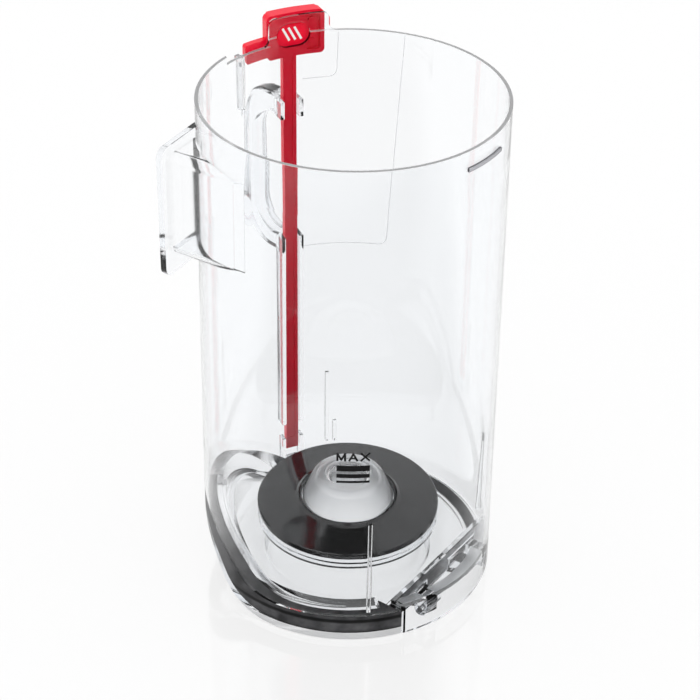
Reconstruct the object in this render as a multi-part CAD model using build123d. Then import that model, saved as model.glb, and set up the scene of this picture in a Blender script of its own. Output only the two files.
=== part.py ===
from build123d import *
import os
from math import atan2, cos, radians, sin, sqrt

# Cyclone dust bin: a clear tapered cup with a side inlet, a hinged clear base with
# rubber seals, and a red release rod outside the back wall.
# Millimetres. +Z is up, and the origin is on the cup's axis in the plane it stands on.
# Azimuths are in degrees, counter-clockwise from +X seen from above.

# Cup wall
wall_height = 273.0
rim_radius = 75.0
taper = 2.15  # how far the wall leans out, down to the base
wall = 2.0
seat_depth = 25.0  # straight land inside the rim, where the cyclone unit seats
seat_relief = 0.3  # how far the land is opened beyond the taper

# Rim tab with its oval window
tab_azimuth = 112.6
tab_width = 32.4
tab_rise = 10.0
tab_corner = 3.5
window_width = 18.3
window_height = 12.7
window_drop = 0.3  # window centre below the rim
window_shift = 2.8
notch_width = 26.2  # lowered rim beside the tab
notch_drop = 4.0

# Short ridge outside, below the rim
ridge_start = -46.5
ridge_end = -26.5
ridge_drop = 8.0
ridge_height = 2.0
ridge_proud = 1.2

# Side inlet
inlet_azimuth = 137.0  # the duct's run, seen from the cup
inlet_drop = 78.2  # floor at the mouth, below the rim
inlet_height = 54.9
inlet_slope = 0.14  # climb from mouth to cup, per millimetre
inlet_wall = 1.7
inlet_round = 5.0  # corners of the duct, outside
inlet_width = 23.0  # from the near side of the opening to the cup's outline
mouth_azimuth = 151.0  # the way that the mouth faces
mouth_inset = 8.0  # mouth's plane inside the cup's outline
flange_inset = 6.7  # outer side of the flange, likewise
flange_over = 7.2
flange_thick = 3.2
flange_corner = 5.5

# Inner ribs: azimuth, foot and top
ribs = [(-81.2, 17.0, 74.0), (100.0, 18.0, 65.0), (96.5, 18.0, 31.0), (9.5, 17.0, 68.0)]
rib_width = 2.2
rib_depth = 3.0
rib_tip = 1.2
rib_round = 1.0

# Release rod and its head
rod_azimuth = 115.1
rod_width = 7.4
rod_thick = 3.6
rod_gap = 0.7  # between rod and cup wall at the base
rod_foot = 14.2
rod_travel = 6.0
rod_groove_width = 3.4
rod_groove_depth = 0.6
head_drop = 12.5  # foot of the head, below the rim
head_height = 23.5
head_right = 17.5  # head's reach to each side of the rod's middle
head_left = 13.5
head_gap = 0.6  # between head and rim
head_thick = 5.2
head_corner = 2.5
wing_reach = 26.5
wing_drop = 10.5
wing_height = 9.8
wing_thick = 3.4
panel_depth = 2.4
panel_margin = 2.2
panel_width = 7.0
dot_radius = 1.7
dot_high = 0.8
dot_spacing = 11.5
boss_inset = 1.4
boss_proud = 0.4
ledge_deep = 1.2
ledge_thick = 3.6

# Return spring in a pocket at the rod's back, on a peg of the guide
spring_radius = 0.95
spring_wire = 0.4
spring_turns = 10
spring_length = 20.0
spring_foot = 100.0
seat_gap = 0.05
pocket_width = 2.9
pocket_depth = 2.6
peg_width = 2.0
peg_height = 2.0

# Guide channel of the rod, and the wing's guide post
guide_gap = 0.4
guide_side = 2.3
guide_back = 1.8
channel_low = 32.0
bridge_drop = 37.5  # top of the bridge, below the rim
bridge_height = 9.5
latch_rib_low = 6.0
latch_rib_high = 22.0
post_azimuth = 137.8
post_width = 2.4
post_proud = 4.0
post_drop = 5.0
post_height = 29.0

# Carry handle
handle_azimuth = 135.0  # the way that it stands out
handle_reach = 30.0
handle_drop = 36.5  # top of the handle, below the rim
handle_height = 93.5
handle_bar = 11.0
handle_arm = 12.0
handle_thick = 10.0
handle_corner = 20.0
handle_round = 2.6

# Base flap
lip = 3.0  # thickness of its floor and rim
lip_gap = 0.45  # rim inside the cup's outline
skirt_gap = 1.5  # between rim and the cup's low skirt
arch_radius = 52.0  # tunnel under the hump
arch_centre = -20.0
arch_blend = 40.0
upstand = 9.0
upstand_wall = 2.0
front_wall = 9.0  # clear wall behind the tall rubber at the front
front_wall_drop = 0.4
front_wall_end = -75.5  # azimuth at the hinge's side
rim_rise = 1.4  # clear edge under the tall rubber, above the lip

# Rubber gasket round the flap
gasket_height = 12.0
gasket_low = 5.0  # top of the gasket at the back and along the hinge
gasket_width = 6.2
gasket_inset = 1.7  # inside the cup's wall
gasket_corner = 8.0
edge_gap = 0.5  # between gasket and the cup's edge
gasket_fit = 0.1
tall_width = 6.4  # of the tall rubber, from the flap's edge
hump_back = 100.0  # where the hump's back flank ends; from there to its crest the rubber is low
stud_radius = 1.7
stud_rise = 1.2
stud_inset = 2.2
stud_along = 31.5

# Hinge
hinge_azimuth = -35.5
chord_inset = 20.25  # from the cup's outline to the housing
chord_wall = 2.2
chord_gap = 0.9
housing_front = 40.5
housing_back = 46.5
housing_gap = 0.7
housing_roof = 16.5
roof_thick = 2.5
pin_reach = 9.0
pin_height = 7.0
pin_radius = 1.5
pin_running = 0.05
boss_start = 21.0
boss_width = 6.0
boss_radius = 3.4
knuckle_gap = 0.6
knuckle_width = 8.0
knuckle_radius = 3.4
panel_half = 10.0
panel_low = 4.0

# Catch tongue of the flap, under the rod's foot
tongue_gap = 0.6
tongue_thick = 2.6
tongue_rest = 0.6  # left between the rod and the tongue at full press
tongue_barb = 0.5
barb_height = 1.8

# Pedestal, its deck and the hollow cone
pedestal_gap = 4.2  # between the gasket and the pedestal
pedestal_taper = 2.8
pedestal_wall = 2.2
deck_top = 31.4
deck_thick = 2.2
deck_over = 2.7  # edge of the deck beyond the foot of the pedestal
deck_lips = [3.2, 2.9]  # heights of the two lips round its edge
lip_step = 0.4
cone_foot = 24.4
cone_collar = 4.0
cone_top = 18.6
cone_high = 50.0
cone_wall = 2.2
cone_round = 5.0
dish_radius = 12.4
dish_depth = 4.0
dish_draft = 1.4
dish_fall = 0.8  # from the edge of its floor to the middle

# Rubber ring on the deck
ring_over = 0.4  # beyond the edge of the deck
ring_bore_gap = 0.6
ring_thick = 2.5
ring_crown = 2.4  # how far its bore stands above its edge
ring_bead = 1.6
ring_rise = 0.5
ring_slant = 0.5

# Worked-out places
base_radius = rim_radius + taper
inlet_floor = wall_height - inlet_drop
inlet_near = rim_radius - inlet_width
mouth_distance = rim_radius - mouth_inset
flange_side = rim_radius - flange_inset
head_low = wall_height - head_drop
head_high = head_low + head_height
wing_low = wall_height - wing_drop
wing_high = wing_low + wing_height
post_high = wall_height - post_drop
post_low = post_high - post_height
bridge_high = wall_height - bridge_drop
bridge_low = bridge_high - bridge_height
handle_high = wall_height - handle_drop
handle_low = handle_high - handle_height
channel_high = handle_low + handle_arm
chord_distance = base_radius - chord_inset
gasket_top = lip + gasket_height
cup_edge = gasket_top + edge_gap
skirt_edge = lip + skirt_gap
rod_inner = base_radius + rod_gap
rod_outer = rod_inner + rod_thick
rod_half = rod_width / 2
slot_half = rod_half + guide_gap
slot_outer = rod_outer + guide_gap
channel_half = slot_half + guide_side
channel_outer = slot_outer + guide_back
head_inner = rim_radius + head_gap
head_outer = head_inner + head_thick
pin_distance = chord_distance + pin_reach
gasket_outer = base_radius - wall - gasket_inset
gasket_inner = gasket_outer - gasket_width
gasket_chord = chord_distance - chord_gap
gasket_chord_inner = gasket_chord - gasket_width
pedestal_radius = gasket_chord_inner - pedestal_gap
deck_radius = pedestal_radius + deck_over
ring_outer = deck_radius + ring_over
flap_radius = base_radius - lip_gap
tall_inner = flap_radius - tall_width
end_wall_radius = tall_inner - front_wall
seat_radius = rim_radius - wall + seat_relief
seat_low = wall_height - seat_depth
spring_circle = rod_outer - pocket_depth / 2
tongue_high = rod_foot - rod_travel - tongue_rest
low = (Align.CENTER, Align.CENTER, Align.MIN)

# Room that a cutting shape needs beyond the object
beyond = 30.0
wedge_step = 60.0
overall = wall_height + tab_rise + beyond
reach = base_radius + beyond


def outer_at(height):
    return base_radius + (rim_radius - base_radius) * height / wall_height


def turn(azimuth, shape):
    return Rot(0, 0, azimuth) * shape


def block(x_range, y_range, z_range):
    size = [high - start for start, high in (x_range, y_range, z_range)]
    middle = [(high + start) / 2 for start, high in (x_range, y_range, z_range)]
    return Pos(*middle) * Box(*size)


def pipe(outer, inner, z_range):
    height = z_range[1] - z_range[0]
    return Pos(0, 0, z_range[0]) * (Cylinder(outer, height, align=low) - Cylinder(inner, height, align=low))


def disc(radius, z_range):
    return Pos(0, 0, z_range[0]) * Cylinder(radius, z_range[1] - z_range[0], align=low)


# Wedge of all azimuths from start to end
def sector(start, end, z_range):
    steps = int((end - start) // wedge_step) + 1
    rim = 2 * reach
    points = [(0, 0)]
    for step in range(steps + 1):
        angle = radians(start + (end - start) * step / steps)
        points.append((rim * cos(angle), rim * sin(angle)))
    face = Polygon(*points, align=None)
    return Pos(0, 0, z_range[0]) * extrude(face, amount=z_range[1] - z_range[0])


# Solid of revolution from an outline of radius and height
def turned(points):
    return revolve(Plane.XZ * Polygon(*points, align=None), Axis.Z)


# Outline across a direction: sideways place and height, pushed along the local X axis
def pushed(face, x_range):
    plane = Plane(origin=(x_range[0], 0, 0), x_dir=(0, 1, 0), z_dir=(1, 0, 0))
    return extrude(plane * face, amount=x_range[1] - x_range[0])


# Hump that runs along -X: all that lies under it, at an offset from the tunnel's roof
def under_arch(offset, blend_back=True):
    radius = arch_radius + offset
    blend = arch_blend - offset
    span = radius + blend
    foot = sqrt(span**2 - (arch_blend - arch_centre) ** 2)
    meet = (foot * radius / span, arch_centre + (arch_blend - arch_centre) * radius / span)
    centre = (foot, arch_blend)
    lean = atan2(meet[1] - centre[1], meet[0] - centre[0])
    lean = lean if lean < 0 else lean - radians(360)
    halfway = (lean + radians(-90)) / 2
    middle = (centre[0] + blend * cos(halfway), centre[1] + blend * sin(halfway))
    far = 2 * reach
    deep = arch_centre - beyond
    front = [
        Line((-far, offset), (-foot, offset)),
        ThreePointArc((-foot, offset), (-middle[0], middle[1]), (-meet[0], meet[1])),
    ]
    crown = (0, arch_centre + radius)
    if blend_back:
        roof = [
            ThreePointArc((-meet[0], meet[1]), crown, meet),
            ThreePointArc(meet, middle, (foot, offset)),
            Line((foot, offset), (far, offset)),
        ]
        last = (far, offset)
    else:
        roof = [ThreePointArc((-meet[0], meet[1]), crown, (radius, arch_centre))]
        last = (radius, arch_centre)
    close = [
        Line(last, (last[0], deep)),
        Line((last[0], deep), (-far, deep)),
        Line((-far, deep), (-far, offset)),
    ]
    return pushed(make_face(front + roof + close), (-far, 0))


# The same with a level floor on the side that has no hump
def under_flap(offset):
    level = block((0, 2 * reach), (-2 * reach, 2 * reach), (arch_centre - beyond, offset))
    return under_arch(offset) + level


# Where the cup's wall is cut away over the flap's rim, clear of the hinge housing
def under_cup(offset, gap):
    front = sector(180, 360 + hinge_azimuth, (-beyond, offset))
    return under_arch(offset, blend_back=False) + (front - housing_space(gap, (-beyond, offset + beyond)))


def housing_space(gap, z_range, start=0):
    space = block((start, 2 * reach), (-housing_front - gap, housing_back + gap), z_range)
    return turn(hinge_azimuth, space)


def back_flank(end=0):
    return sector(hump_back, 180 - end, (-beyond, overall))


# Height of the rubber and its upstand: high at the front, low at the back and the hinge
def under_rim(front, back, gap):
    return (under_cup(front, gap) - back_flank()) + under_flap(back)


# Disc with one straight side towards the hinge
def flat_sided(radius, chord, corner, z_range):
    face = Circle(radius) & (Pos(chord - reach, 0) * Rectangle(2 * reach, 2 * reach))
    face = fillet(face.vertices(), corner)
    prism = Pos(0, 0, z_range[0]) * extrude(face, amount=z_range[1] - z_range[0])
    return turn(hinge_azimuth, prism)


# Cup wall with its tab, window and lowered rim
def cup_wall():
    top = wall_height + tab_rise
    shell = Cone(base_radius, outer_at(top), top, align=low)
    shell = shell - Cone(base_radius - wall, seat_radius, seat_low, align=low)
    shell = shell - disc(seat_radius, (seat_low, top))
    half = tab_width / 2
    side = half + notch_width + beyond / 2
    lowered = wall_height - notch_drop
    above = overall
    points = [
        (-side, above),
        (-side, wall_height),
        (-half, wall_height),
        (-half, top),
        (half, top),
        (half, lowered),
        (half + notch_width, lowered),
        (half + notch_width, wall_height),
        (side, wall_height),
        (side, above),
    ]
    outline = Polygon(*points, align=None)
    shoulders = [v for v in outline.vertices() if abs(abs(v.X) - half) < 0.01]
    outline = fillet(shoulders, tab_corner)
    front_of_tab = (beyond, reach)
    over_tab = turn(tab_azimuth, pushed(outline, front_of_tab))
    level = block((-reach, reach), (-reach, reach), (wall_height, above))
    level = level - turn(tab_azimuth, block(front_of_tab, (-side, side), (0, above)))
    window = SlotOverall(window_width, window_height)
    window = Pos(window_shift, wall_height - window_drop) * window
    window = turn(tab_azimuth, pushed(window, front_of_tab))
    return shell - level - over_tab - window


# Ridge under the rim
def rim_ridge():
    height = wall_height - ridge_drop
    z_range = (height - ridge_height, height)
    ring = pipe(outer_at(height) + ridge_proud, outer_at(height) - wall / 2, z_range)
    return ring & sector(ridge_start, ridge_end, z_range)


# Straight duct whose outer side touches the cup, grown or shrunk by a margin
def duct(margin, start):
    end = reach

    def level(base, place):
        return base + (mouth_distance - place) * inlet_slope

    roof = inlet_floor + inlet_height
    side = Polygon(
        (end, level(inlet_floor, end) - margin),
        (end, level(roof, end) + margin),
        (start, level(roof, start) + margin),
        (start, level(inlet_floor, start) - margin),
        align=None,
    )
    near = inlet_near - inlet_wall - margin
    plane = Plane(origin=(0, near, 0), x_dir=(1, 0, 0), z_dir=(0, -1, 0))
    body = extrude(plane * side, amount=near - reach)
    body = body - beyond_wall(margin)
    touch = outer_at(roof) + margin
    long_edges = [e for e in body.edges() if e.length > reach / 2 and abs(e.center().Y - touch) < wall]
    return turn(inlet_azimuth, fillet(long_edges, inlet_round + margin))


# All that lies outside the plane that leans against the cup's wall
def beyond_wall(margin):
    face = Polygon(
        (outer_at(0) + margin, 0),
        (2 * reach, 0),
        (2 * reach, overall),
        (outer_at(overall) + margin, overall),
        align=None,
    )
    return pushed(face, (-reach, 2 * reach))


def before_mouth(start, end):
    return turn(mouth_azimuth, block((start, end), (-reach, reach), (0, overall)))


def inlet_outside():
    low_edge = inlet_floor - flange_over
    high_edge = inlet_floor + inlet_height + flange_over
    plate = RectangleRounded(2 * flange_side, high_edge - low_edge, flange_corner)
    plate = Pos(0, (low_edge + high_edge) / 2) * plate
    plate = pushed(plate, (mouth_distance - flange_thick, mouth_distance))
    plate = plate - block((0, reach), (-reach, 0), (0, overall))
    flange = turn(mouth_azimuth, plate)
    inside = disc(rim_radius - wall / 2, (0, overall))
    return (duct(0, 0) & before_mouth(-reach, mouth_distance)) + flange - inside


def inlet_inside():
    return duct(-inlet_wall, -wall) & before_mouth(-reach, mouth_distance + wall)


# Upright ribs on the inner wall, thin at the top
def inner_ribs():
    solids = []
    for azimuth, foot, top in ribs:
        root_foot = outer_at(foot) - wall / 2
        root_top = outer_at(top) - wall / 2
        face = Polygon(
            (root_foot, foot),
            (root_foot - wall / 2 - rib_depth, foot),
            (root_top - wall / 2 - rib_tip, top),
            (root_top, top),
            align=None,
        )
        rib = extrude(Plane.XZ * face, amount=rib_width / 2, both=True)
        edges = [e for e in rib.edges() if e.length > rib_width * 2 and e.center().X < root_top - wall / 2]
        solids.append(turn(azimuth, fillet(edges, rib_round)))
    return solids


# Box section round the rod
def guide(z_range):
    outside = block((rim_radius - wall / 2, channel_outer), (-channel_half, channel_half), z_range)
    slot = block((rim_radius - wall, slot_outer), (-slot_half, slot_half), z_range)
    return turn(rod_azimuth, outside - slot)


# Two short ribs beside the catch tongue
def latch_ribs():
    z_range = (latch_rib_low, latch_rib_high)
    both = block((rim_radius, slot_outer), (-channel_half, channel_half), z_range)
    between = block((rim_radius, slot_outer), (-slot_half - guide_gap, slot_half + guide_gap), z_range)
    return turn(rod_azimuth, both - between)


def wing_post():
    half = post_width / 2
    root = rim_radius - wall / 2
    post = block((root, rim_radius + post_proud), (-half, half), (post_low, post_high))
    return turn(post_azimuth, post)


# Peg on the guide's back that carries the return spring
def spring_peg():
    half = peg_width / 2
    start = rod_outer - pocket_depth + guide_gap
    peg = block((start, slot_outer + guide_back / 2), (-half, half), (spring_foot - peg_height, spring_foot))
    return turn(rod_azimuth, peg)


# Carry handle: a rounded loop that leaves the guide at an angle
def carry_handle():
    height = handle_high - handle_low
    length = 2 * handle_reach
    inner_corner = handle_corner - handle_bar / 2
    outline = RectangleRounded(length, height, handle_corner)
    hole = RectangleRounded(length - 2 * handle_bar, height - 2 * handle_arm, inner_corner)
    middle = (handle_low + handle_high) / 2
    face = Pos(0, middle) * (outline - hole)
    plane = Plane(origin=(0, 0, 0), x_dir=(1, 0, 0), z_dir=(0, -1, 0))
    loop = extrude(plane * face, amount=handle_thick / 2, both=True)
    rims = [e for e in loop.edges() if abs(abs(e.center().Y) - handle_thick / 2) < 0.01]
    loop = fillet(rims, handle_round)
    start = Vector(channel_outer, 0, 0).rotate(Axis.Z, rod_azimuth)
    loop = Pos(start.X, start.Y, 0) * turn(handle_azimuth, loop)
    guide_plane = block((-reach, channel_outer - guide_back / 2), (-reach, reach), (0, overall))
    return loop - turn(rod_azimuth, guide_plane)


# Housing of the hinge, inside the skirt at the flap's straight side
def hinge_housing():
    span = (-housing_front, housing_back)
    roof_top = housing_roof + roof_thick
    inside_wall = chord_distance + chord_wall
    swing_top = gasket_low + edge_gap
    roof = block((chord_distance, reach), span, (housing_roof, roof_top))
    wall_low = pin_height + knuckle_radius + 2 * knuckle_gap
    front = block((chord_distance, inside_wall), span, (wall_low, roof_top))
    panel = block((chord_distance, inside_wall), (-panel_half, panel_half), (panel_low, roof_top))
    solids = [roof, front, panel]
    for end in ((span[0], span[0] + chord_wall), (span[1] - chord_wall, span[1])):
        solids.append(block((chord_distance, reach), end, (swing_top, roof_top)))
        solids.append(block((inside_wall, reach), end, (0, swing_top)))
    boss_end = boss_start + boss_width
    for side in (-1, 1):
        ear = sorted((side * boss_start, side * boss_end))
        low_ear = block((pin_distance - boss_radius, reach), ear, (pin_height, roof_top))
        solids.append(low_ear)
        solids.append(crosswise(boss_radius, ear))
    housing = solids[0]
    for solid in solids[1:]:
        housing = housing + solid
    housing = housing - crosswise(pin_radius, (-boss_end, boss_end))
    inside_cup = disc(base_radius - wall / 2, (0, roof_top))
    return turn(hinge_azimuth, housing & inside_cup)


# Round bar on the hinge axis, in the hinge's own directions
def crosswise(radius, y_range):
    length = y_range[1] - y_range[0]
    bar = Rot(-90, 0, 0) * Cylinder(radius, length, align=low)
    return Pos(pin_distance, y_range[0], pin_height) * bar


def bin_body():
    cup = cup_wall() - under_cup(cup_edge, 0)
    skirt = block((-reach, reach), (-reach, reach), (-beyond, skirt_edge))
    cup = cup - (skirt - housing_space(0, (-beyond, beyond)))
    cup = cup + inlet_outside()
    outside = [
        guide((channel_low, channel_high)),
        guide((bridge_low, bridge_high)),
        latch_ribs(),
        wing_post(),
        spring_peg(),
    ]
    inside = Cone(base_radius - wall / 2, outer_at(overall) - wall / 2, overall, align=low)
    for solid in outside:
        cup = cup + (solid - inside)
    cup = cup + carry_handle()
    cup = cup + rim_ridge()
    cup = cup + hinge_housing()
    for rib in inner_ribs():
        cup = cup + rib
    return cup - inlet_inside()


def hinge_pin():
    end = boss_start + boss_width
    return turn(hinge_azimuth, crosswise(pin_radius, (-end, end)))


# Clear floor that closes the cup, with hump, pedestal and cone
def base_flap():
    plate = disc(flap_radius, (-beyond, overall)) & under_flap(lip)
    hump_end = disc(end_wall_radius, (lip, overall))
    plate = plate - hump_end
    tunnel = under_arch(0) - disc(end_wall_radius + lip, (0, overall))
    below = block((-reach, reach), (-reach, reach), (-2 * beyond - reach, 0))
    hollow = disc(pedestal_radius - pedestal_wall, (0, lip))
    flap = plate - tunnel - below - hollow
    flap = flap + gasket_upstand() + hump_rim() + front_backing() + clear_edge()
    flap = flap - housing_space(housing_gap, (-beyond, overall), gasket_chord)
    flap = flap + pedestal() + catch_tongue()
    for side in (-1, 1):
        flap = flap + knuckle(side)
    bore = crosswise(pin_radius + pin_running, (-housing_front, housing_front))
    return flap - turn(hinge_azimuth, bore)


# Clear rim over the hump's back flank, above the low rubber
def hump_rim():
    z_range = (-beyond, overall)
    tops = under_cup(gasket_top, housing_gap) & back_flank(end=housing_gap / 2)
    outer = pipe(flap_radius, gasket_outer + gasket_fit, z_range)
    inner = pipe(gasket_outer + gasket_fit, gasket_inner, z_range)
    return (outer & (tops - under_flap(lip / 2))) + (inner & (tops - under_flap(gasket_low + gasket_fit)))


# Place of the clear wall behind the tall rubber
def front_space(radius):
    z_range = (-beyond, overall)
    return pipe(radius, end_wall_radius, z_range) & sector(180, 360 + front_wall_end, z_range)


# That wall: a level thick part, and a thin part that climbs the hump beside the rubber
def front_backing():
    top = gasket_top - front_wall_drop
    room = front_space(tall_inner - gasket_fit) - under_flap(lip / 2)
    thick = room & disc(tall_inner, (0, top))
    thin = (room - disc(gasket_inner, (0, overall))) & under_cup(top, housing_gap)
    return thick + thin


# Clear edge of the flap under the tall rubber
def clear_edge():
    z_range = (-beyond, overall)
    ring = pipe(flap_radius, gasket_outer, z_range) & sector(180, 360 + hinge_azimuth, z_range)
    ring = ring - housing_space(housing_gap, z_range)
    return ring & (under_flap(lip + rim_rise) - under_flap(lip / 2))


# Low wall that the gasket is pushed over
def gasket_upstand():
    z_range = (-beyond, overall)
    outer = gasket_inner
    chord = gasket_chord_inner
    ring = flat_sided(outer, chord, gasket_corner, z_range)
    inner = flat_sided(outer - upstand_wall, chord - upstand_wall, gasket_corner, z_range)
    tops = under_rim(lip + upstand, gasket_low - edge_gap, housing_gap)
    return (ring - inner) & (tops - under_flap(lip / 2))


def pedestal():
    deck_low = deck_top - deck_thick
    skirt_low = deck_top - sum(deck_lips) - 2 * lip_step
    wall_top = pedestal_radius - pedestal_taper
    dish = cone_high - dish_depth
    shoulder = (cone_top, cone_high)
    inner_shoulder = (cone_top - cone_wall, cone_high - cone_wall)
    points = [
        (pedestal_radius, lip / 2),
        (wall_top, deck_low),
        (deck_radius - deck_thick, deck_low),
        (deck_radius - deck_thick, skirt_low),
        (deck_radius + lip_step, skirt_low),
        (deck_radius + lip_step, skirt_low + deck_lips[1]),
        (deck_radius - lip_step, skirt_low + deck_lips[1] + lip_step),
        (deck_radius, skirt_low + deck_lips[1] + 2 * lip_step),
        (deck_radius, deck_top),
        (cone_foot, deck_top),
        (cone_foot, deck_top + cone_collar),
        shoulder,
        (dish_radius, cone_high),
        (dish_radius - dish_draft, dish),
        (0, dish - dish_fall),
        (0, dish - dish_fall - cone_wall),
        (dish_radius - dish_draft - cone_wall, dish - cone_wall),
        (dish_radius - cone_wall, cone_high - cone_wall),
        inner_shoulder,
        (cone_foot - cone_wall, deck_top + cone_collar - cone_wall / 2),
        (cone_foot - cone_wall, deck_low),
        (wall_top - pedestal_wall, deck_low),
        (pedestal_radius - pedestal_wall, lip / 2),
    ]
    face = Polygon(*points, align=None)
    for place, radius in ((shoulder, cone_round), (inner_shoulder, cone_round - cone_wall)):
        corner = face.vertices().sort_by_distance((place[0], place[1], 0))[0]
        face = fillet(corner, radius)
    return revolve(Plane.XZ * face, Axis.Z)


def knuckle(side):
    inner = boss_start - knuckle_gap - knuckle_width
    span = sorted((side * inner, side * (inner + knuckle_width)))
    root = gasket_chord - lip
    start = gasket_chord + knuckle_gap / 2
    top = pin_height + knuckle_radius
    face = Polygon(
        (root, 0),
        (gasket_chord, 0),
        (pin_distance, pin_height - knuckle_radius),
        (pin_distance, top),
        (start + knuckle_radius, top),
        (start, top - knuckle_radius),
        (start, lip),
        (root, lip),
        align=None,
    )
    arm = extrude(Plane.XZ * face, amount=knuckle_width / 2, both=True)
    arm = Pos(0, (span[0] + span[1]) / 2, 0) * arm
    return turn(hinge_azimuth, arm + crosswise(knuckle_radius, span))


def catch_tongue():
    half = slot_half - guide_gap
    inner = rod_inner + tongue_gap / 2
    outer = inner + tongue_thick
    foot = block((flap_radius - lip, outer), (-half, half), (0, lip))
    upright = block((inner, outer), (-half, half), (0, tongue_high))
    barb = block((inner - tongue_barb, inner), (-half, half), (tongue_high - barb_height, tongue_high))
    return turn(rod_azimuth, foot + upright + barb)


# Rubber round the flap's rim, wider where the cup's wall is cut away
def rim_gasket():
    z_range = (-beyond, overall)
    outer = flat_sided(gasket_outer, gasket_chord, gasket_corner, z_range)
    inner = flat_sided(gasket_inner, gasket_chord_inner, gasket_corner, z_range)
    tops = under_rim(gasket_top, gasket_low, housing_gap)
    band = (outer - inner) & (tops - under_flap(lip))
    proud = pipe(flap_radius, gasket_outer - gasket_width / 2, z_range)
    proud = (proud & under_cup(gasket_top, housing_gap)) - under_flap(lip) - back_flank()
    proud = proud - housing_space(housing_gap, z_range, gasket_chord) - clear_edge()
    stud = disc(stud_radius, (lip, gasket_low + stud_rise))
    stud = Pos(gasket_chord - stud_inset, stud_along, 0) * stud
    return band + proud - front_space(tall_inner) + turn(hinge_azimuth, stud)


def pedestal_seal():
    bore = cone_foot + ring_bore_gap
    edge = deck_top + ring_thick
    crown = edge + ring_crown
    points = [
        (bore, deck_top),
        (bore, crown),
        (bore + ring_bead / 2, crown + ring_rise),
        (bore + ring_bead, crown + ring_rise),
        (bore + 2 * ring_bead, crown - ring_rise),
        (ring_outer - ring_slant, edge),
        (ring_outer, edge - ring_slant),
        (ring_outer, deck_top),
    ]
    return turned(points)


# Red button head and rod in one moulding
def release_rod():
    z_range = (rod_foot, head_low + head_corner)
    rod = block((rod_inner, rod_outer), (-rod_half, rod_half), z_range)
    groove = block(
        (rod_inner, rod_inner + rod_groove_depth),
        (-rod_groove_width / 2, rod_groove_width / 2),
        (rod_foot + rod_width, head_low),
    )
    head = pushed(head_outline(), (rim_radius / 2, reach))
    head = head & pipe(head_outer, head_inner, (0, overall))
    wing = pushed(wing_outline(), (rim_radius / 2, reach))
    wing = wing & pipe(head_inner + wing_thick, head_inner, (0, overall))
    red = rod - groove + head + wing + thumb_ledge()
    red = red - head_panel() + head_dots() + head_boss()
    pocket = block(
        (rod_outer - pocket_depth, rod_outer),
        (-pocket_width / 2, pocket_width / 2),
        (spring_foot - peg_height - guide_gap, spring_foot + spring_length),
    )
    return turn(rod_azimuth, red - pocket)


def head_outline():
    width = head_right + head_left
    face = RectangleRounded(width, head_high - head_low, head_corner)
    return Pos((head_left - head_right) / 2, (head_high + head_low) / 2) * face


def wing_outline():
    width = wing_reach
    face = RectangleRounded(width, wing_high - wing_low, head_corner / 2)
    return Pos(wing_reach / 2, (wing_high + wing_low) / 2) * face


# Shelf along the head's top edge, pressed by the thumb
def thumb_ledge():
    width = head_right + head_left - 2 * head_corner
    middle = (head_left - head_right) / 2
    z_range = (head_high - ledge_thick, head_high)
    ledge = pipe(head_outer + ledge_deep, head_outer - wall, z_range)
    span = (middle - width / 2, middle + width / 2)
    return ledge & block((rim_radius / 2, reach), span, z_range)


# Sunk panel at the head's right, with two round marks
def panel_middle():
    return -head_right + panel_margin + panel_width / 2


def head_panel():
    height = head_high - head_low - 2 * panel_margin
    face = RectangleRounded(panel_width, height, head_corner / 2)
    face = Pos(panel_middle(), (head_high + head_low) / 2) * face
    cut = pushed(face, (rim_radius / 2, reach))
    return cut & pipe(head_inner + panel_depth, head_inner - wall, (0, overall))


def head_dots():
    middle = (head_high + head_low) / 2
    dots = [
        Pos(panel_middle(), middle + place * dot_spacing / 2) * Circle(dot_radius)
        for place in (-1, 1)
    ]
    face = dots[0] + dots[1]
    floor = head_inner + panel_depth
    return pushed(face, (rim_radius / 2, reach)) & pipe(floor + wall / 2, floor - dot_high, (0, overall))


# Oval pad that shows in the tab's window
def head_boss():
    face = SlotOverall(window_width - 2 * boss_inset, window_height - 2 * boss_inset)
    along = rim_radius * sin(radians(tab_azimuth - rod_azimuth)) + window_shift
    face = Pos(along, wall_height - window_drop) * face
    pad = pushed(face, (rim_radius / 2, reach))
    return pad & pipe(head_inner + wall, head_inner - boss_proud, (0, overall))


def return_spring():
    height = spring_length - spring_wire - 2 * seat_gap
    start = spring_foot + spring_wire / 2 + seat_gap
    path = Helix(height / spring_turns, height, spring_radius)
    section = Plane(origin=path @ 0, z_dir=path % 0) * Circle(spring_wire / 2)
    coil = sweep(section, path=path)
    return turn(rod_azimuth, Pos(spring_circle, 0, start) * coil)


os.makedirs("parts", exist_ok=True)
nodes = {
    "bin_body": bin_body(),
    "hinge_pin": hinge_pin(),
    "base_flap": base_flap(),
    "rim_gasket": rim_gasket(),
    "pedestal_seal": pedestal_seal(),
    "release_rod": release_rod(),
    "return_spring": return_spring(),
}
for name, shape in nodes.items():
    export_step(shape, f"parts/{name}.step")
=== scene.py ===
import math
import bmesh
import bpy
from mathutils import Matrix, Vector


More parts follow.
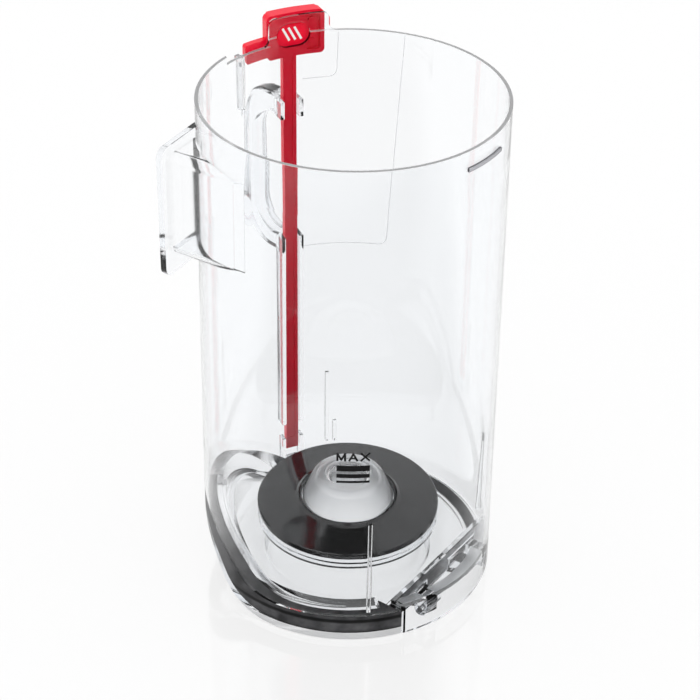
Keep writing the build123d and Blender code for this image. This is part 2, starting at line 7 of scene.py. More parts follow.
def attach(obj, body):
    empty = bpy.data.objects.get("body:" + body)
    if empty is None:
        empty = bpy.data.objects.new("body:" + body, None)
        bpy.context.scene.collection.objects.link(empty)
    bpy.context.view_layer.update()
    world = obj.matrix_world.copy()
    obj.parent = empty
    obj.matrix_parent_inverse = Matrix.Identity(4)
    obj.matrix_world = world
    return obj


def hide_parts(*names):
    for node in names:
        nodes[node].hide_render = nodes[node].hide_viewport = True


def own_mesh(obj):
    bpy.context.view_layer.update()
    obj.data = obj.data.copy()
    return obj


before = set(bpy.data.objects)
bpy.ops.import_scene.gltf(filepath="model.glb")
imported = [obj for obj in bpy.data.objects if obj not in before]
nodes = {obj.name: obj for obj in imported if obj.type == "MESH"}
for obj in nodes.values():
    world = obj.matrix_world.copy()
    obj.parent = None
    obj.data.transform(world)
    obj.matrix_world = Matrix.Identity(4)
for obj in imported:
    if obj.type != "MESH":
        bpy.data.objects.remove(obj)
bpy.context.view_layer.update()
scene = bpy.context.scene
mm = 0.001


# sRGB hex to linear colour
def linear(hexColour):
    parts = [int(hexColour[i:i + 2], 16) / 255 for i in (0, 2, 4)]
    return [p / 12.92 if p <= 0.04045 else ((p + 0.055) / 1.055) ** 2.4 for p in parts] + [1.0]


# one node with its settings, plain inputs and links
def addNode(tree, kind, inputs=None, links=None, **settings):
    node = tree.nodes.new(kind)
    for name, value in settings.items():
        setattr(node, name, value)
    for key, value in (inputs or {}).items():
        node.inputs[key].default_value = value
    for key, socket in (links or {}).items():
        tree.links.new(socket, node.inputs[key])
    return node


def newMaterial(name):
    material = bpy.data.materials.new(name)
    material.use_nodes = True
    material.node_tree.nodes.clear()
    return material, material.node_tree


# Clear moulded polycarbonate: smooth and very clear, faint flow waves, grey-blue only down its long edges
clearPlastic = {"tint": "fdfeff", "gleam": "cccccc", "depth": "8f93a8", "density": 2.6, "ior": 1.52,
                "waveMm": 34, "waveDetail": 1.0, "waveStrength": 0.12, "waveHighMm": 0.4,
                "scuffMm": 1.6, "scuffDetail": 3.0, "leastHaze": 0.5, "mostHaze": 1.5}

# places with a duller mould: how far from the cup's axis or their own, between which heights, and how dull
etchedCone = {"fromMm": 0.0, "toMm": 25.0, "lowMm": 32.5, "highMm": 60.0, "roughness": 0.34, "white": 0.0}
# the lip is rough, and its white share is painted highlight
etchedLipAndPaintedHighlight = {"fromMm": 76.4, "toMm": 80.0, "lowMm": -1.0, "highMm": 4.42, "roughness": 0.3, "white": 0.6}
softHump = {"fromMm": 58.0, "toMm": 78.0, "lowMm": 15.0, "highMm": 60.0, "roughness": 0.18, "white": 0.0}
satinRim = {"fromMm": 70.0, "toMm": 80.0, "lowMm": 272.8, "highMm": 273.4, "roughness": 0.3, "white": 0.3}
satinNotch = {"axisMm": (-54.1, 51.9), "fromMm": 0.0, "toMm": 14.8, "lowMm": 268.8, "highMm": 269.2,
              "roughness": 0.3, "white": 0.3}
satinPost = {"axisMm": (-57.8, 52.4), "fromMm": 0.0, "toMm": 2.6, "lowMm": 238.5, "highMm": 268.7,
             "roughness": 0.25, "white": 0.15}
# the ridge is rough and partly white, and its grey tint is painted shade that draws it as a darker stroke
satinRidgeAndPaintedShade = {"fromMm": 75.15, "toMm": 77.0, "lowMm": 262.9, "highMm": 265.1, "roughness": 0.3, "white": 0.3,
              "grey": "9c9ca2"}
softRoof = {"fromMm": 69.0, "toMm": 74.9, "lowMm": 16.3, "highMm": 16.7, "roughness": 0.4, "white": 0.3}
softOutside = {"fromMm": 78.5, "toMm": 140.0, "lowMm": 25.0, "highMm": 262.0, "roughness": 0.08, "white": 0.0}
satinAll = {"fromMm": 0.0, "toMm": 140.0, "lowMm": 0.0, "highMm": 284.0, "roughness": 0.3, "white": 0.15}

cupPlastic = {"haze": 0.012, "seed": 1.0,
              "zones": [satinRim, satinNotch, satinPost, satinRidgeAndPaintedShade, softRoof, softOutside]}
basePlastic = {"haze": 0.02, "seed": 2.0, "zones": [etchedCone, etchedLipAndPaintedHighlight, softHump]}
edgePlastic = {"haze": 0.012, "seed": 5.0, "zones": [satinAll]}


# 1 inside a zone of distance from its axis and of height
def zoneMask(tree, place, zone):
    x, y = zone.get("axisMm", (0.0, 0.0))
    flat = addNode(tree, "ShaderNodeVectorMath", {1: (1, 1, 0), 2: (-x * mm, -y * mm, 0)}, {0: place},
                   operation="MULTIPLY_ADD")
    away = addNode(tree, "ShaderNodeVectorMath", None, {0: flat.outputs["Vector"]}, operation="LENGTH")
    axes = addNode(tree, "ShaderNodeSeparateXYZ", None, {0: place})
    within = []
    for socket, start, end in ((away.outputs["Value"], zone["fromMm"], zone["toMm"]),
                               (axes.outputs["Z"], zone["lowMm"], zone["highMm"])):
        middle = (start + end) / 2 * mm
        reach = (end - start) / 2 * mm
        near = addNode(tree, "ShaderNodeMath", {1: middle, 2: reach}, {0: socket}, operation="COMPARE")
        within.append(near.outputs[0])
    inside = addNode(tree, "ShaderNodeMath", None, {0: within[0], 1: within[1]}, operation="MULTIPLY")
    return inside.outputs[0]


def polycarbonate(name, plastic):
    look = clearPlastic
    seed = plastic["seed"]
    material, tree = newMaterial(name)
    place = addNode(tree, "ShaderNodeTexCoord").outputs["Object"]
    wave = addNode(tree, "ShaderNodeTexNoise",
                   {"Scale": 1 / (look["waveMm"] * mm), "Detail": look["waveDetail"], "W": seed},
                   {"Vector": place}, noise_dimensions="4D")
    bump = addNode(tree, "ShaderNodeBump",
                   {"Strength": look["waveStrength"], "Distance": look["waveHighMm"] * mm},
                   {"Height": wave.outputs["Fac"]})
    scuff = addNode(tree, "ShaderNodeTexNoise",
                    {"Scale": 1 / (look["scuffMm"] * mm), "Detail": look["scuffDetail"], "W": seed},
                    {"Vector": place}, noise_dimensions="4D")
    haze = addNode(tree, "ShaderNodeMapRange",
                   {"To Min": plastic["haze"] * look["leastHaze"],
                    "To Max": plastic["haze"] * look["mostHaze"]}, {"Value": scuff.outputs["Fac"]})
    rough = haze.outputs["Result"]
    clear = tint = None
    for zone in plastic["zones"]:
        inside = zoneMask(tree, place, zone)
        dull = addNode(tree, "ShaderNodeMath", {1: zone["roughness"]}, {0: inside}, operation="MULTIPLY")
        duller = addNode(tree, "ShaderNodeMath", None, {0: rough, 1: dull.outputs[0]}, operation="MAXIMUM")
        rough = duller.outputs[0]
        if zone["white"]:
            links = {0: inside, 2: clear} if clear else {0: inside}
            whiter = addNode(tree, "ShaderNodeMath", {1: -zone["white"], 2: 1.0}, links,
                             operation="MULTIPLY_ADD")
            clear = whiter.outputs[0]
        # a zone's grey tint is painted shade
        if "grey" in zone:
            greyer = addNode(tree, "ShaderNodeMix", {"A": linear(look["tint"]), "B": linear(zone["grey"])},
                             {"Factor": inside}, data_type="RGBA")
            tint = greyer.outputs["Result"]
    surface = addNode(tree, "ShaderNodeBsdfPrincipled",
                      {"Base Color": linear(look["tint"]), "IOR": look["ior"], "Transmission Weight": 1.0,
                       "Specular Tint": linear(look["gleam"])},
                      {"Roughness": rough, "Normal": bump.outputs["Normal"]})
    if clear:
        tree.links.new(clear, surface.inputs["Transmission Weight"])
    if tint:
        tree.links.new(tint, surface.inputs["Base Color"])
    depth = addNode(tree, "ShaderNodeVolumeAbsorption",
                    {"Color": linear(look["depth"]), "Density": look["density"]})
    addNode(tree, "ShaderNodeOutputMaterial", None,
            {"Surface": surface.outputs["BSDF"], "Volume": depth.outputs["Volume"]})
    return material


# Compression-moulded EPDM rubber: satin grey gasket, polished black ring, grain drawn coarse enough to show
rubberGrain = {"grainMm": 0.7, "grainDetail": 2.0, "grainHighMm": 0.08,
               "bloomMm": 9, "bloomDetail": 4.0, "bloomFrom": 0.35, "bloomTo": 0.65, "bloomDulls": 1.6,
               "ribStrength": 0.5, "ribHighMm": 0.3}
# heights up the gasket's outside in millimetres, and how pale it is there: painted light and shade, pale
# where the ribs catch light, dark under the lip and in the groove
gasketRibsAndPaintedShade = [(4.4, 0.1), (4.8, 0.1), (5.0, 0.55), (6.2, 0.8), (7.0, 1.0), (10.4, 0.85), (11.4, 0.1),
              (12.8, 0.1), (13.4, 0.6), (16.4, 0.75)]
gasketRubber = {"dark": "303032", "bloom": "5c5c5e", "gloss": 0.3, "ior": 1.5, "grain": 0.25, "seed": 3.0,
                "ribs": gasketRibsAndPaintedShade}
ringRubber = {"dark": "060607", "bloom": "121213", "gloss": 0.06, "ior": 1.7, "grain": 0.02, "seed": 4.0,
              "ribs": None}


# painted shade grey for each height, even below the first and above the last
def ribPaintedShade(tree, place, ribs):
    heights, shades = zip(*ribs)
    low, high = heights[0], heights[-1]
    axes = addNode(tree, "ShaderNodeSeparateXYZ", None, {0: place})
    share = addNode(tree, "ShaderNodeMapRange", {"From Min": low * mm, "From Max": high * mm},
                    {"Value": axes.outputs["Z"]})
    ramp = addNode(tree, "ShaderNodeValToRGB", None, {"Fac": share.outputs["Result"]})
    stops = ramp.color_ramp.elements
    for height in heights[1:-1]:
        stops.new((height - low) / (high - low))
    for stop, shade in zip(stops, shades):
        stop.color = (shade, shade, shade, 1.0)
    return ramp.outputs["Color"]


def epdmRubber(name, look):
    material, tree = newMaterial(name)
    place = addNode(tree, "ShaderNodeTexCoord").outputs["Object"]
    bloom = addNode(tree, "ShaderNodeTexNoise",
                    {"Scale": 1 / (rubberGrain["bloomMm"] * mm), "Detail": rubberGrain["bloomDetail"],
                     "W": look["seed"]}, {"Vector": place}, noise_dimensions="4D")
    patchy = addNode(tree, "ShaderNodeMapRange",
                     {"From Min": rubberGrain["bloomFrom"], "From Max": rubberGrain["bloomTo"]},
                     {"Value": bloom.outputs["Fac"]})
    colour = addNode(tree, "ShaderNodeMix", {"A": linear(look["dark"]), "B": linear(look["bloom"])},
                     {"Factor": patchy.outputs["Result"]}, data_type="RGBA")
    grain = addNode(tree, "ShaderNodeTexNoise",
                    {"Scale": 1 / (rubberGrain["grainMm"] * mm), "Detail": rubberGrain["grainDetail"]},
                    {"Vector": place})
    bump = addNode(tree, "ShaderNodeBump",
                   {"Strength": look["grain"], "Distance": rubberGrain["grainHighMm"] * mm},
                   {"Height": grain.outputs["Fac"]})
    if look["ribs"]:
        paintedRibShade = ribPaintedShade(tree, place, look["ribs"])
        # the gasket's colour times the painted rib shade; the same grey also bumps the ribs
        colour = addNode(tree, "ShaderNodeMix", {"Factor": 1.0}, {"A": colour.outputs["Result"], "B": paintedRibShade},
                         data_type="RGBA", blend_type="MULTIPLY")
        bump = addNode(tree, "ShaderNodeBump",
                       {"Strength": rubberGrain["ribStrength"], "Distance": rubberGrain["ribHighMm"] * mm},
                       {"Height": paintedRibShade, "Normal": bump.outputs["Normal"]})
    rough = addNode(tree, "ShaderNodeMapRange",
                    {"To Min": look["gloss"], "To Max": look["gloss"] * rubberGrain["bloomDulls"]},
                    {"Value": bloom.outputs["Fac"]})
    surface = addNode(tree, "ShaderNodeBsdfPrincipled", {"IOR": look["ior"]},
                      {"Base Color": colour.outputs["Result"], "Roughness": rough.outputs["Result"],
                       "Normal": bump.outputs["Normal"]})
    addNode(tree, "ShaderNodeOutputMaterial", None, {"Surface": surface.outputs["BSDF"]})
    return material


# Red moulded ABS: saturated and glossy, with slow flow marks and a faint orange peel
redLook = {"bright": "fa0030", "deep": "e6002a", "ior": 1.53, "specular": 0.25,
           "flowMm": 22, "flowDetail": 2.0, "peelMm": 2.2, "peelDetail": 1.0, "peelStrength": 0.08,
           "peelHighMm": 0.1, "leastRough": 0.16, "mostRough": 0.28}


def redAbs(name, look):
    material, tree = newMaterial(name)
    place = addNode(tree, "ShaderNodeTexCoord").outputs["Object"]
    flow = addNode(tree, "ShaderNodeTexNoise",
                   {"Scale": 1 / (look["flowMm"] * mm), "Detail": look["flowDetail"]}, {"Vector": place})
    colour = addNode(tree, "ShaderNodeMix", {"A": linear(look["bright"]), "B": linear(look["deep"])},
                     {"Factor": flow.outputs["Fac"]}, data_type="RGBA")
    peel = addNode(tree, "ShaderNodeTexNoise",
                   {"Scale": 1 / (look["peelMm"] * mm), "Detail": look["peelDetail"]}, {"Vector": place})
    bump = addNode(tree, "ShaderNodeBump",
                   {"Strength": look["peelStrength"], "Distance": look["peelHighMm"] * mm},
                   {"Height": peel.outputs["Fac"]})
    rough = addNode(tree, "ShaderNodeMapRange", {"To Min": look["leastRough"], "To Max": look["mostRough"]},
                    {"Value": peel.outputs["Fac"]})
    surface = addNode(tree, "ShaderNodeBsdfPrincipled",
                      {"IOR": look["ior"], "Specular IOR Level": look["specular"]},
                      {"Base Color": colour.outputs["Result"], "Roughness": rough.outputs["Result"],
                       "Normal": bump.outputs["Normal"]})
    addNode(tree, "ShaderNodeOutputMaterial", None, {"Surface": surface.outputs["BSDF"]})
    return material


# Steel, ground for the pin and drawn for the spring: bright, with an even grain drawn coarse enough to show
groundSteel = {"colour": "b9babd", "grainMm": 0.5}
drawnSteel = {"colour": "a8a9ac", "grainMm": 0.3}
steelGrain = {"detail": 3.0, "strength": 0.2, "highMm": 0.03, "leastRough": 0.22, "mostRough": 0.42}


def brightSteel(name, look):
    material, tree = newMaterial(name)
    place = addNode(tree, "ShaderNodeTexCoord").outputs["Object"]
    grain = addNode(tree, "ShaderNodeTexNoise",
                    {"Scale": 1 / (look["grainMm"] * mm), "Detail": steelGrain["detail"]}, {"Vector": place})
    rough = addNode(tree, "ShaderNodeMapRange",
                    {"To Min": steelGrain["leastRough"], "To Max": steelGrain["mostRough"]},
                    {"Value": grain.outputs["Fac"]})
    bump = addNode(tree, "ShaderNodeBump",
                   {"Strength": steelGrain["strength"], "Distance": steelGrain["highMm"] * mm},
                   {"Height": grain.outputs["Fac"]})
    surface = addNode(tree, "ShaderNodeBsdfPrincipled",
                      {"Base Color": linear(look["colour"]), "Metallic": 1.0},
                      {"Roughness": rough.outputs["Result"], "Normal": bump.outputs["Normal"]})
    addNode(tree, "ShaderNodeOutputMaterial", None, {"Surface": surface.outputs["BSDF"]})
    return material


# Pad-printed black ink and moulded white ABS: one flat colour, with a faintly mottled gloss
mottleLook = {"mottleMm": 0.8, "detail": 2.0, "leastRough": 0.35, "mostRough": 0.6}


def mattFinish(name, hexColour):
    material, tree = newMaterial(name)
    place = addNode(tree, "ShaderNodeTexCoord").outputs["Object"]
    mottle = addNode(tree, "ShaderNodeTexNoise",
                     {"Scale": 1 / (mottleLook["mottleMm"] * mm), "Detail": mottleLook["detail"]},
                     {"Vector": place})
    rough = addNode(tree, "ShaderNodeMapRange",
                    {"To Min": mottleLook["leastRough"], "To Max": mottleLook["mostRough"]},
                    {"Value": mottle.outputs["Fac"]})
    surface = addNode(tree, "ShaderNodeBsdfPrincipled", {"Base Color": linear(hexColour)},
                      {"Roughness": rough.outputs["Result"]})
    addNode(tree, "ShaderNodeOutputMaterial", None, {"Surface": surface.outputs["BSDF"]})
    return material


finishes = {
    "bin_body": polycarbonate("polycarbonateMouldedCup", cupPlastic),
    "base_flap": polycarbonate("polycarbonateMouldedBase", basePlastic),
    "rim_gasket": epdmRubber("epdmMouldedGasket", gasketRubber),
    "pedestal_seal": epdmRubber("epdmMouldedRing", ringRubber),
    "release_rod": redAbs("absMouldedRed", redLook),
    "hinge_pin": brightSteel("steelGroundPin", groundSteel),
    "return_spring": brightSteel("steelSpringWire", drawnSteel),
}
for name, material in finishes.items():
    nodes[name].data.materials.clear()
    nodes[name].data.materials.append(material)
print("finishes set on", len(finishes), "nodes")

# outside of the cup's wall in millimetres, for what is laid on it
cup = {"rimRadius": 75.0, "baseRadius": 77.15, "height": 273.0}


def wallRadius(z):
    return cup["baseRadius"] + (cup["rimRadius"] - cup["baseRadius"]) * z / cup["height"]


# mesh in millimetres (x along the wall, y up, z proud) laid on the cup's outside
def layOnWall(flat, azimuth, proud):
    for v in flat.vertices:
        z = v.co.y
        radius = wallRadius(z) + proud + v.co.z
        angle = math.radians(azimuth) + v.co.x / radius
        v.co = (radius * math.cos(angle) * mm, radius * math.sin(angle) * mm, z * mm)
    flat.update()


def addPiece(name, mesh, body, material):
    piece = bpy.data.objects.new(name, mesh)
    scene.collection.objects.link(piece)
    mesh.materials.clear()
    mesh.materials.append(material)
    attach(piece, body)
    return piece


# Geometry Nodes tree with named inputs
def startTree(name, inputs):
    tree = bpy.data.node_groups.new(name, "GeometryNodeTree")
    for label, kind in inputs.items():
        tree.interface.new_socket(label, in_out="INPUT", socket_type=kind)
    tree.interface.new_socket("Geometry", in_out="OUTPUT", socket_type="NodeSocketGeometry")
    return tree, addNode(tree, "NodeGroupInput").outputs


# what the tree made, as real geometry with its material
def endTree(tree, geometry, material):
    real = addNode(tree, "GeometryNodeRealizeInstances", None, {"Geometry": geometry})
    finished = addNode(tree, "GeometryNodeSetMaterial", {"Material": material},
                       {"Geometry": real.outputs["Geometry"]})
    addNode(tree, "NodeGroupOutput", None, {"Geometry": finished.outputs["Geometry"]})
    return tree


# plain mesh that a tree makes of a first mesh and its sizes
def nodesMesh(start, tree, sizes):
    holder = bpy.data.objects.new(tree.name, start)
    scene.collection.objects.link(holder)
    modifier = holder.modifiers.new(tree.name, "NODES")
    modifier.node_group = tree
    sockets = {item.name: item.identifier for item in tree.interface.items_tree if item.in_out == "INPUT"}
    for label, value in sizes.items():
        modifier[sockets[label]] = value
    bpy.context.view_layer.update()
    mesh = bpy.data.meshes.new_from_object(holder.evaluated_get(bpy.context.evaluated_depsgraph_get()))
    bpy.data.objects.remove(holder)
    return mesh


# Fill mark on the front wall: a word and three bars, each thinner than the one above
fillMark = {"colour": "0b0b0c", "azimuth": -88.2, "proud": 0.06, "ink": 0.05}
fillWord = {"text": "MAX", "middleZ": 117.4, "high": 4.9, "wide": 16.4, "letterGap": 1.1, "stroke": 1.0}
fillBars = {"count": 3, "topZ": 110.6, "wide": 16.3, "thick": 3.4, "thinner": 1.05, "gap": 1.72}
# strokes of each letter in a box one wide and one high
letterStrokes = {
    "M": [((0, 0), (0, 1)), ((0, 1), (0.5, 0.12)), ((0.5, 0.12), (1, 1)), ((1, 1), (1, 0))],
    "A": [((0, 0), (0.5, 1)), ((0.5, 1), (1, 0)), ((0.2, 0.32), (0.8, 0.32))],
    "X": [((0, 0), (1, 1)), ((0, 1), (1, 0))],
}
barPoints = 25  # along each bar, so that it follows the round wall


# each stroke is a closed flat box
def wordMesh(word, ink):
    shape = bmesh.new()
    letters = len(word["text"])
    letterWide = (word["wide"] - (letters - 1) * word["letterGap"]) / letters
    half = word["stroke"] / 2
    runWide = letterWide - 2 * half
    runHigh = word["high"] - 2 * half
    lowZ = word["middleZ"] - word["high"] / 2
    for index, letter in enumerate(word["text"]):
        left = index * (letterWide + word["letterGap"]) - word["wide"] / 2
        for ends in letterStrokes[letter]:
            start, end = [Vector((left + half + x * runWide, lowZ + half + y * runHigh)) for x, y in ends]
            along = (end - start).normalized() * half
            aside = Vector((-along.y, along.x))
            corners = [start - along - aside, end + along - aside, end + along + aside, start - along + aside]
            foot, top = [[shape.verts.new((c.x, c.y, z)) for c in corners] for z in (-ink / 2, ink / 2)]
            shape.faces.new(foot[::-1])
            shape.faces.new(top)
            for i in range(len(corners)):
                shape.faces.new((foot[i - 1], foot[i], top[i], top[i - 1]))
    mesh = bpy.data.meshes.new("fillWord")
    shape.to_mesh(mesh)
    shape.free()
    return mesh


# row of flat bars, downwards, where each bar may be thinner than the last
def barTree(name, material):
    inputs = {"Count": "NodeSocketInt"}
    for label in ("Wide", "Thick", "Thinner", "Gap", "Slant", "Proud"):
        inputs[label] = "NodeSocketFloat"
    tree, given = startTree(name, inputs)
    points = addNode(tree, "GeometryNodeMeshLine", {"Offset": (0, 0, 0)}, {"Count": given["Count"]})
    index = addNode(tree, "GeometryNodeInputIndex")
    lost = addNode(tree, "ShaderNodeMath", None, {0: index.outputs[0], 1: given["Thinner"]},
                   operation="MULTIPLY")
    thick = addNode(tree, "ShaderNodeMath", None, {0: given["Thick"], 1: lost.outputs[0]},
                    operation="SUBTRACT")
    # how far each bar lies below the first
    total = addNode(tree, "ShaderNodeMath", None, {0: given["Thick"], 1: thick.outputs[0]}, operation="ADD")
    mean = addNode(tree, "ShaderNodeMath", {1: 0.5}, {0: total.outputs[0]}, operation="MULTIPLY")
    pitch = addNode(tree, "ShaderNodeMath", None, {0: mean.outputs[0], 1: given["Gap"]}, operation="ADD")
    drop = addNode(tree, "ShaderNodeMath", None, {0: pitch.outputs[0], 1: index.outputs[0]},
                   operation="MULTIPLY")
    below = addNode(tree, "ShaderNodeMath", {1: -1.0}, {0: drop.outputs[0]}, operation="MULTIPLY")
    place = addNode(tree, "ShaderNodeCombineXYZ", None, {"Y": below.outputs[0]})
    moved = addNode(tree, "GeometryNodeSetPosition", None,
                    {"Geometry": points.outputs["Mesh"], "Offset": place.outputs[0]})
    bar = addNode(tree, "GeometryNodeMeshCube", {"Size": (1, 1, 1), "Vertices X": barPoints})
    size = addNode(tree, "ShaderNodeCombineXYZ", None,
                   {"X": given["Wide"], "Y": thick.outputs[0], "Z": given["Proud"]})
    lean = addNode(tree, "ShaderNodeCombineXYZ", None, {"Z": given["Slant"]})
    row = addNode(tree, "GeometryNodeInstanceOnPoints", None,
                  {"Points": moved.outputs["Geometry"], "Instance": bar.outputs["Mesh"],
                   "Rotation": lean.outputs[0], "Scale": size.outputs[0]})
    return endTree(tree, row.outputs["Instances"], material)


blackInk = mattFinish("inkPadPrintBlack", fillMark["colour"])
word = wordMesh(fillWord, fillMark["ink"])
layOnWall(word, fillMark["azimuth"], fillMark["proud"])
addPiece("fillWord", word, "bin", blackInk)
bars = nodesMesh(bpy.data.meshes.new("fillBars"), barTree("fillBars", blackInk),
                 {"Count": fillBars["count"], "Wide": fillBars["wide"], "Thick": fillBars["thick"],
                  "Thinner": fillBars["thinner"], "Gap": fillBars["gap"], "Slant": 0.0,
                  "Proud": fillMark["ink"]})
for v in bars.vertices:
    v.co.y += fillBars["topZ"]
layOnWall(bars, fillMark["azimuth"], fillMark["proud"])
addPiece("fillBars", bars, "bin", blackInk)
print("fill mark made")

# Faint moulded edges on the back wall, from the rim down and across to the rod: by the button, and a panel
buttonEdge = {"azimuth": 96.9, "lean": 0.8, "topZ": 271.6, "lowZ": 247.0, "across": 18.0, "corner": 4.0}
panelEdge = {"azimuth": 75.7, "lean": 7.2, "topZ": 271.6, "lowZ": 148.0, "across": 45.0, "corner": 5.0}
# the bead that draws both, and how proud its middle is
edgeBead = {"wide": 0.4, "proud": 0.08, "step": 1.5, "cornerPoints": 8, "sides": 10}


# thin round bead along a path with rounded corners
def beadTree(name, material):
    tree, given = startTree(name, {"Path": "NodeSocketGeometry", "Corner": "NodeSocketFloat",
                                   "Wide": "NodeSocketFloat"})
    line = addNode(tree, "GeometryNodeMeshToCurve", None, {"Mesh": given["Path"]})
    rounded = addNode(tree, "GeometryNodeFilletCurve", {"Count": edgeBead["cornerPoints"]},
                      {"Curve": line.outputs["Curve"], "Radius": given["Corner"]}, mode="POLY")
    steps = addNode(tree, "GeometryNodeResampleCurve", {"Length": edgeBead["step"]},
                    {"Curve": rounded.outputs["Curve"]}, mode="LENGTH")
    half = addNode(tree, "ShaderNodeMath", {1: 0.5}, {0: given["Wide"]}, operation="MULTIPLY")
    section = addNode(tree, "GeometryNodeCurvePrimitiveCircle", {"Resolution": edgeBead["sides"]},
                      {"Radius": half.outputs[0]})
    bead = addNode(tree, "GeometryNodeCurveToMesh", {"Fill Caps": True},
                   {"Curve": steps.outputs["Curve"], "Profile Curve": section.outputs["Curve"]})
    return endTree(tree, bead.outputs["Mesh"], material)


def edgePath(edge):
    path = bpy.data.meshes.new("edgePath")
    corners = [(-edge["lean"], edge["topZ"], 0), (0, edge["lowZ"], 0), (edge["across"], edge["lowZ"], 0)]
    path.from_pydata(corners, [(0, 1), (1, 2)], [])
    return path


satinEdge = polycarbonate("polycarbonateSatinEdge", edgePlastic)
for name, edge in (("buttonEdge", buttonEdge), ("panelEdge", panelEdge)):
    bead = nodesMesh(edgePath(edge), beadTree(name, satinEdge),
                     {"Corner": edge["corner"], "Wide": edgeBead["wide"]})
    layOnWall(bead, edge["azimuth"], edgeBead["proud"])
    addPiece(name, bead, "bin", satinEdge)
print("moulded edges made")

# Grip bars moulded in white on the button's oval pad, facing into the cup, slanted off upright
gripBars = {"colour": "f4f4f2", "count": 3, "long": 8.0, "thick": 1.2, "gap": 2.0, "slant": -28.0,
            "proud": 0.16, "azimuth": 114.74, "height": 272.7, "radius": 75.2}
whiteAbs = mattFinish("absMouldedWhite", gripBars["colour"])
grip = nodesMesh(bpy.data.meshes.new("gripBars"), barTree("gripBars", whiteAbs),
                 {"Count": gripBars["count"], "Wide": gripBars["long"], "Thick": gripBars["thick"],
                  "Thinner": 0.0, "Gap": gripBars["gap"], "Slant": math.radians(gripBars["slant"]),
                  "Proud": gripBars["proud"]})
rowHalf = (gripBars["count"] - 1) * (gripBars["thick"] + gripBars["gap"]) / 2
for v in grip.vertices:
    along, up = v.co.y + rowHalf, v.co.x
    radius = gripBars["radius"] + v.co.z
    angle = math.radians(gripBars["azimuth"]) - along / gripBars["radius"]
    v.co = (radius * math.cos(angle) * mm, radius * math.sin(angle) * mm, (gripBars["height"] + up) * mm)
addPiece("gripBars", grip, "rod", whiteAbs)
print("grip bars made")

# Return spring: the CAD coil, with its doubled points merged and its faces smooth
springCoil = {"node": "return_spring", "joint": "rod_slide", "pressed": 0.695, "mergeMm": 0.001}
shape = bmesh.new()
shape.from_mesh(nodes[springCoil["node"]].data)
bmesh.ops.remove_doubles(shape, verts=shape.verts, dist=springCoil["mergeMm"] * mm)
for face in shape.faces:
    face.smooth = True
coilMesh = bpy.data.meshes.new("springCoil")
shape.to_mesh(coilMesh)
shape.free()
coil = addPiece("springCoil", coilMesh, "bin", finishes[springCoil["node"]])
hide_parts(springCoil["node"])
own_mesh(coil)
print("spring made")

# Camera of the photograph: place and nearest in metres, tilt in degrees from straight down, roll in radians
view = {"sensorMm": 36, "lensMm": 99.83, "nearest": 0.05, "place": (0, -0.8243, 0.6845), "tilt": 56.0,
        "roll": 0.015112}
camera = bpy.data.objects.new("camera", bpy.data.cameras.new("camera"))
scene.collection.objects.link(camera)
camera.data.sensor_width = view["sensorMm"]
camera.data.lens = view["lensMm"]
camera.data.clip_start = view["nearest"]
camera.location = view["place"]
tilted = Matrix.Rotation(math.radians(view["tilt"]), 3, "X")
rolled = Matrix.Rotation(view["roll"], 3, "Z")
camera.rotation_euler = (tilted @ rolled).to_euler()
scene.camera = camera

# Studio, in metres: white all round, a pale floor with a soft mirror image, dark flags for reflections alone
paperFloor = {"radius": 3.0, "sides": 96, "below": 0.0004, "colour": "f2f2f2", "clear": 0.85,
              "mirror": 0.1, "mirrorBlur": 0.1, "flagAt": (0.08, -0.28, 0.0), "flagSize": (0.45, 0.27, 1.0),
              "flagFrom": 0.75, "flagTo": 1.15, "flag": 0.1}
surround = {"ambient": 1.12, "throughCup": 1.4, "stripHalf": 0.07, "stripSoft": 0.006, "strip": 0.0,
            "stripLow": 0.6}
halfBounce = 0.5  # lies between two counts of bounces
white = (1, 1, 1, 1)
black = (0, 0, 0, 1)


# 1 for what the camera sees, straight or through and off the object
def seenRays(tree, path):
    first = addNode(tree, "ShaderNodeMath", None, {0: path["Is Camera Ray"], 1: path["Is Glossy Ray"]},
                    operation="MAXIMUM")
    seen = addNode(tree, "ShaderNodeMath", None, {0: first.outputs[0], 1: path["Is Transmission Ray"]},
                   operation="MAXIMUM")
    return seen.outputs[0]


# 1 for a ray that one surface has sent back
def onceReflected(tree, path):
    once = addNode(tree, "ShaderNodeMath", {1: 1.0, 2: halfBounce}, {0: path["Glossy Depth"]},
                   operation="COMPARE")
    return once.outputs[0]


# 1, but for a dark flag in front of the object that only reflections meet
def floorLevel(tree, path):
    place = addNode(tree, "ShaderNodeTexCoord").outputs["Object"]
    flag = addNode(tree, "ShaderNodeMapping",
                   {"Location": paperFloor["flagAt"], "Scale": paperFloor["flagSize"]}, {"Vector": place},
                   vector_type="TEXTURE")
    away = addNode(tree, "ShaderNodeVectorMath", None, {0: flag.outputs[0]}, operation="LENGTH")
    faded = addNode(tree, "ShaderNodeMapRange",
                    {"From Min": paperFloor["flagFrom"], "From Max": paperFloor["flagTo"],
                     "To Min": paperFloor["flag"], "To Max": 1.0},
                    {"Value": away.outputs["Value"]}, interpolation_type="SMOOTHSTEP")
    level = addNode(tree, "ShaderNodeMix", {"A": 1.0},
                    {"Factor": onceReflected(tree, path), "B": faded.outputs[0]}, data_type="FLOAT")
    return level.outputs[0]


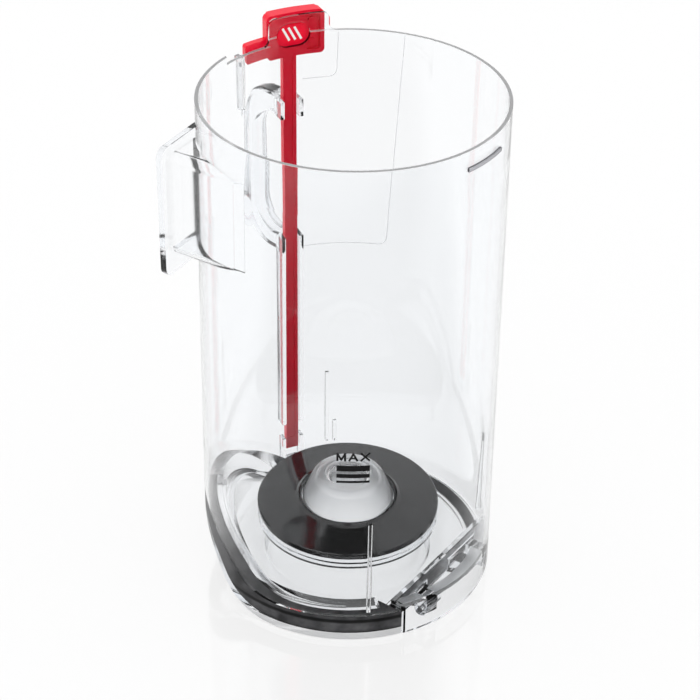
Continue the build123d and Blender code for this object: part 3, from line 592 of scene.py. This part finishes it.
# White gloss paper, mostly see-through to the camera, for the white beyond and the flap when it hangs open
def glossPaper(name):
    material, tree = newMaterial(name)
    path = addNode(tree, "ShaderNodeLightPath").outputs
    matt = addNode(tree, "ShaderNodeBsdfDiffuse", {"Color": linear(paperFloor["colour"])})
    beyond = addNode(tree, "ShaderNodeBsdfTransparent")
    clear = addNode(tree, "ShaderNodeMath", {1: paperFloor["clear"]}, {0: seenRays(tree, path)},
                    operation="MULTIPLY")
    paintedRibShade = addNode(tree, "ShaderNodeMixShader", None,
                   {"Fac": clear.outputs[0], 1: matt.outputs[0], 2: beyond.outputs[0]})
    dark = addNode(tree, "ShaderNodeBsdfDiffuse", {"Color": black})
    flagged = addNode(tree, "ShaderNodeMixShader", None,
                      {"Fac": floorLevel(tree, path), 1: dark.outputs[0], 2: paintedRibShade.outputs[0]})
    mirror = addNode(tree, "ShaderNodeBsdfGlossy", {"Color": white, "Roughness": paperFloor["mirrorBlur"]})
    share = addNode(tree, "ShaderNodeMath", {1: paperFloor["mirror"]}, {0: path["Is Camera Ray"]},
                    operation="MULTIPLY")
    paper = addNode(tree, "ShaderNodeMixShader", None,
                    {"Fac": share.outputs[0], 1: flagged.outputs[0], 2: mirror.outputs[0]})
    addNode(tree, "ShaderNodeOutputMaterial", None, {"Surface": paper.outputs[0]})
    return material


# white surround, with a narrow dark strip overhead for reflections in the cup
def whiteSurround(name):
    world = bpy.data.worlds.new(name)
    world.use_nodes = True
    tree = world.node_tree
    tree.nodes.clear()
    path = addNode(tree, "ShaderNodeLightPath").outputs
    direction = addNode(tree, "ShaderNodeTexCoord").outputs["Generated"]
    axes = addNode(tree, "ShaderNodeSeparateXYZ", None, {0: direction})
    aside = addNode(tree, "ShaderNodeMath", None, {0: axes.outputs["X"]}, operation="ABSOLUTE")
    strip = addNode(tree, "ShaderNodeMapRange",
                    {"From Min": surround["stripHalf"] - surround["stripSoft"],
                     "From Max": surround["stripHalf"] + surround["stripSoft"],
                     "To Min": surround["strip"], "To Max": 1.0},
                    {"Value": aside.outputs[0]}, interpolation_type="SMOOTHSTEP")
    through = addNode(tree, "ShaderNodeMath", {1: halfBounce}, {0: path["Transmission Depth"]},
                      operation="GREATER_THAN")
    cupGlint = addNode(tree, "ShaderNodeMath", None, {0: onceReflected(tree, path), 1: through.outputs[0]},
                       operation="MULTIPLY")
    overhead = addNode(tree, "ShaderNodeMath", {1: surround["stripLow"]}, {0: axes.outputs["Z"]},
                       operation="GREATER_THAN")
    meetsStrip = addNode(tree, "ShaderNodeMath", None, {0: cupGlint.outputs[0], 1: overhead.outputs[0]},
                         operation="MULTIPLY")
    striped = addNode(tree, "ShaderNodeMix", {"A": 1.0},
                      {"Factor": meetsStrip.outputs[0], "B": strip.outputs[0]}, data_type="FLOAT")
    unscattered = addNode(tree, "ShaderNodeMath", {1: halfBounce}, {0: path["Diffuse Depth"]},
                          operation="LESS_THAN")
    shown = addNode(tree, "ShaderNodeMath", None, {0: seenRays(tree, path), 1: unscattered.outputs[0]},
                    operation="MULTIPLY")
    light = addNode(tree, "ShaderNodeMix", {"A": surround["ambient"], "B": surround["throughCup"]},
                    {"Factor": path["Is Transmission Ray"]}, data_type="FLOAT")
    level = addNode(tree, "ShaderNodeMix", None,
                    {"Factor": shown.outputs[0], "A": light.outputs[0], "B": striped.outputs[0]},
                    data_type="FLOAT")
    back = addNode(tree, "ShaderNodeBackground", {"Color": white}, {"Strength": level.outputs[0]})
    addNode(tree, "ShaderNodeOutputWorld", None, {"Surface": back.outputs[0]})
    return world


floorMesh = bpy.data.meshes.new("studioFloor")
shape = bmesh.new()
bmesh.ops.create_circle(shape, cap_ends=True, segments=paperFloor["sides"], radius=paperFloor["radius"])
shape.to_mesh(floorMesh)
shape.free()
floor = bpy.data.objects.new("studioFloor", floorMesh)
floor.location.z = -paperFloor["below"]
scene.collection.objects.link(floor)
floorMesh.materials.append(glossPaper("paperGlossWhite"))
scene.world = whiteSurround("studio")

# light passes many clear walls on its way
wallBounces = 24
scene.cycles.max_bounces = wallBounces
scene.cycles.transmission_bounces = wallBounces
scene.cycles.transparent_max_bounces = wallBounces
scene.view_settings.view_transform = "Standard"
print("studio and camera set")
